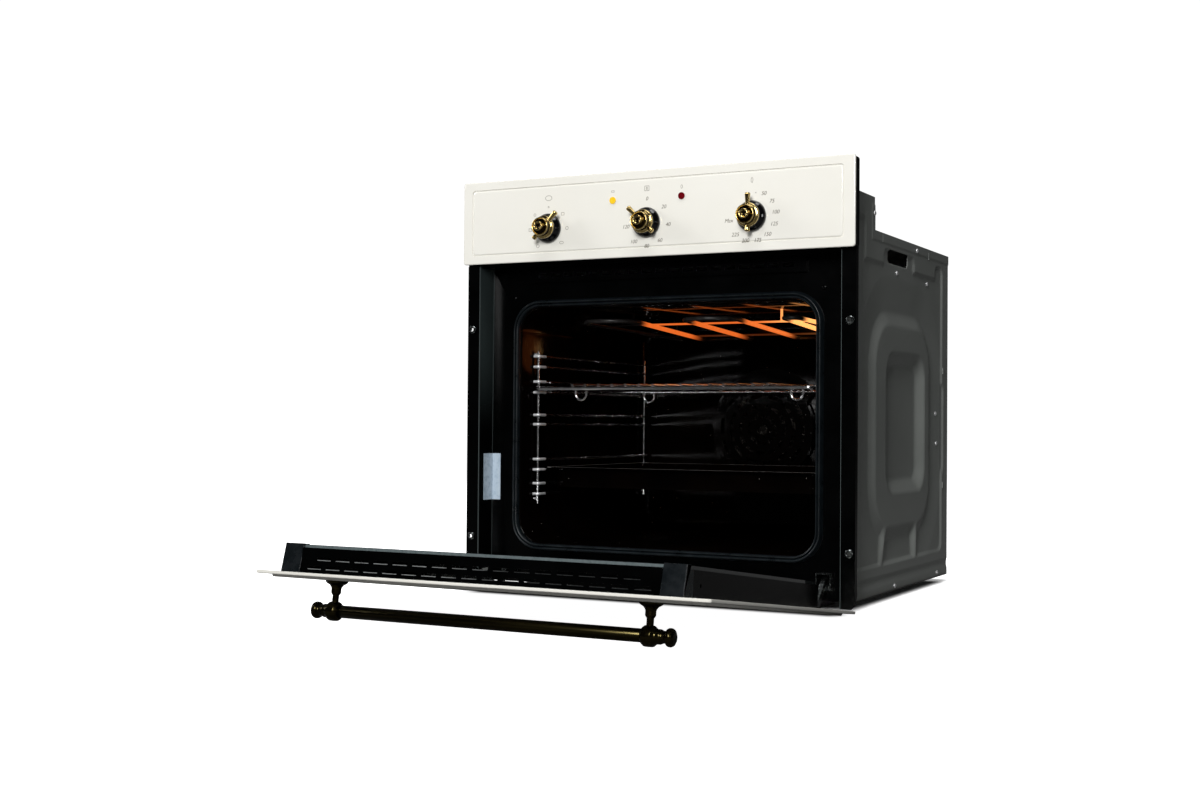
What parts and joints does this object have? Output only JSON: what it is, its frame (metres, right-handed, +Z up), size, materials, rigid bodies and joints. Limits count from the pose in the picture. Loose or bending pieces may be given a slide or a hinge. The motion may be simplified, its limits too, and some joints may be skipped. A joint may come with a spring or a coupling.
{
  "type": "built-in oven",
  "caption": "Built-in electric oven with a cream panel and drop-down door, brass rotary knobs, a bronze rail handle, wire racks, heaters and fans behind a lit enamel cavity.",
  "frame": {"origin": "middle of the resting face under the case, on the cabinet shelf", "axes": "+Z up, -Y out of the front, +Y into the cabinet, +X to the right as seen from the front"},
  "size_m": [0.595, 0.9948, 0.593],
  "materials": {
    "cream_enamel": "gloss",
    "black_enamel": "satin",
    "case_paint": "satin",
    "galvanised": "zinc",
    "cavity_enamel": "gloss",
    "silicone": "matt",
    "chrome_wire": "polished",
    "steel": "plain",
    "heater": "glowing",
    "mineral_wool": "fibrous",
    "ceramic_body": "matt",
    "clear_glass": "clear",
    "bulb_glass": "warm",
    "window_glass": "tinted",
    "black_plastic": "matt",
    "switch_plastic": "matt",
    "slate_plastic": "matt",
    "gloss_black": "gloss",
    "brass": "polished",
    "dark_bronze": "antique",
    "yellow_lens": "gloss",
    "red_lens": "gloss",
    "label_foil": "satin",
    "screw_steel": "zinc"
  },
  "bodies": {
    "oven_body": {"control_panel": "cream_enamel", "panel_bracket": "black_enamel", "front_frame": "black_enamel", "air_outlet_grille": "black_enamel", "cavity_gasket": "silicone", "cavity": "cavity_enamel", "side_panel_left": "case_paint", "side_panel_right": "case_paint", "base_pan": "galvanised", "top_cover": "galvanised", "control_housing_cover": "galvanised", "rear_cover": "galvanised", "rear_motor_cover": "galvanised", "insulation": "mineral_wool", "grill_element": "heater", "bake_element": "steel", "fan_cover": "cavity_enamel", "fan_motor": "steel", "cooling_duct": "galvanised", "blower_motor": "steel", "lamp_holder": "ceramic_body", "lamp_bulb": "bulb_glass", "lamp_lens": "clear_glass", "side_rack_left": "chrome_wire", "side_rack_right": "chrome_wire", "function_switch": "switch_plastic", "timer": "switch_plastic", "thermostat": "steel", "terminal_block": "black_plastic", "power_lamp": "yellow_lens", "heating_lamp": "red_lens", "hinge_receiver_left": "steel", "hinge_receiver_right": "steel", "hinge_arm_left": "steel", "hinge_arm_right": "steel", "fixing_ferrules": "screw_steel", "case_screws": "screw_steel", "rating_label": "label_foil"},
    "function_knob": {"function_skirt": "gloss_black", "function_grip": "brass", "function_shaft": "steel"},
    "timer_knob": {"timer_skirt": "gloss_black", "timer_grip": "brass", "timer_shaft": "steel"},
    "thermostat_knob": {"thermostat_skirt": "gloss_black", "thermostat_grip": "brass", "thermostat_shaft": "steel"},
    "fan": {"convection_fan": "steel"},
    "blower": {"blower_wheel": "steel"},
    "shelf": {"wire_shelf": "chrome_wire"},
    "tray": {"baking_tray": "cavity_enamel"},
    "door": {"door_skin": "cream_enamel", "door_window_glass": "window_glass", "door_inner_glass": "clear_glass", "door_side_profiles": "black_enamel", "door_vent_profile": "black_enamel", "door_end_caps": "slate_plastic", "door_hinges": "steel", "handle_bar": "dark_bronze", "handle_posts": "dark_bronze"}
  },
  "joints": [
    {"name": "door_hinge", "type": "hinge", "parent": "oven_body", "child": "door", "pos_m": [0, -0.258, 0.008], "axis": [-1, 0, 0], "range_deg": [0, 82.5]},
    {"name": "function_turn", "type": "hinge", "parent": "oven_body", "child": "function_knob", "pos_m": [-0.155, -0.267, 0.5202], "axis": [0, 1, 0], "continuous": true},
    {"name": "timer_turn", "type": "hinge", "parent": "oven_body", "child": "timer_knob", "pos_m": [0, -0.267, 0.5202], "axis": [0, 1, 0], "range_deg": [0, 317]},
    {"name": "thermostat_turn", "type": "hinge", "parent": "oven_body", "child": "thermostat_knob", "pos_m": [0.155, -0.267, 0.5202], "axis": [0, 1, 0], "range_deg": [0, 280]},
    {"name": "fan_spin", "type": "hinge", "parent": "oven_body", "child": "fan", "pos_m": [0, 0.18, 0.236], "axis": [0, 1, 0], "continuous": true},
    {"name": "blower_spin", "type": "hinge", "parent": "oven_body", "child": "blower", "pos_m": [0, -0.086, 0.467], "axis": [1, 0, 0], "continuous": true},
    {"name": "shelf_slide", "type": "slide", "parent": "oven_body", "child": "shelf", "axis": [0, 1, 0], "range_m": [-0.28, 0]},
    {"name": "tray_slide", "type": "slide", "parent": "oven_body", "child": "tray", "axis": [0, 1, 0], "range_m": [-0.28, 0]}
  ]
}
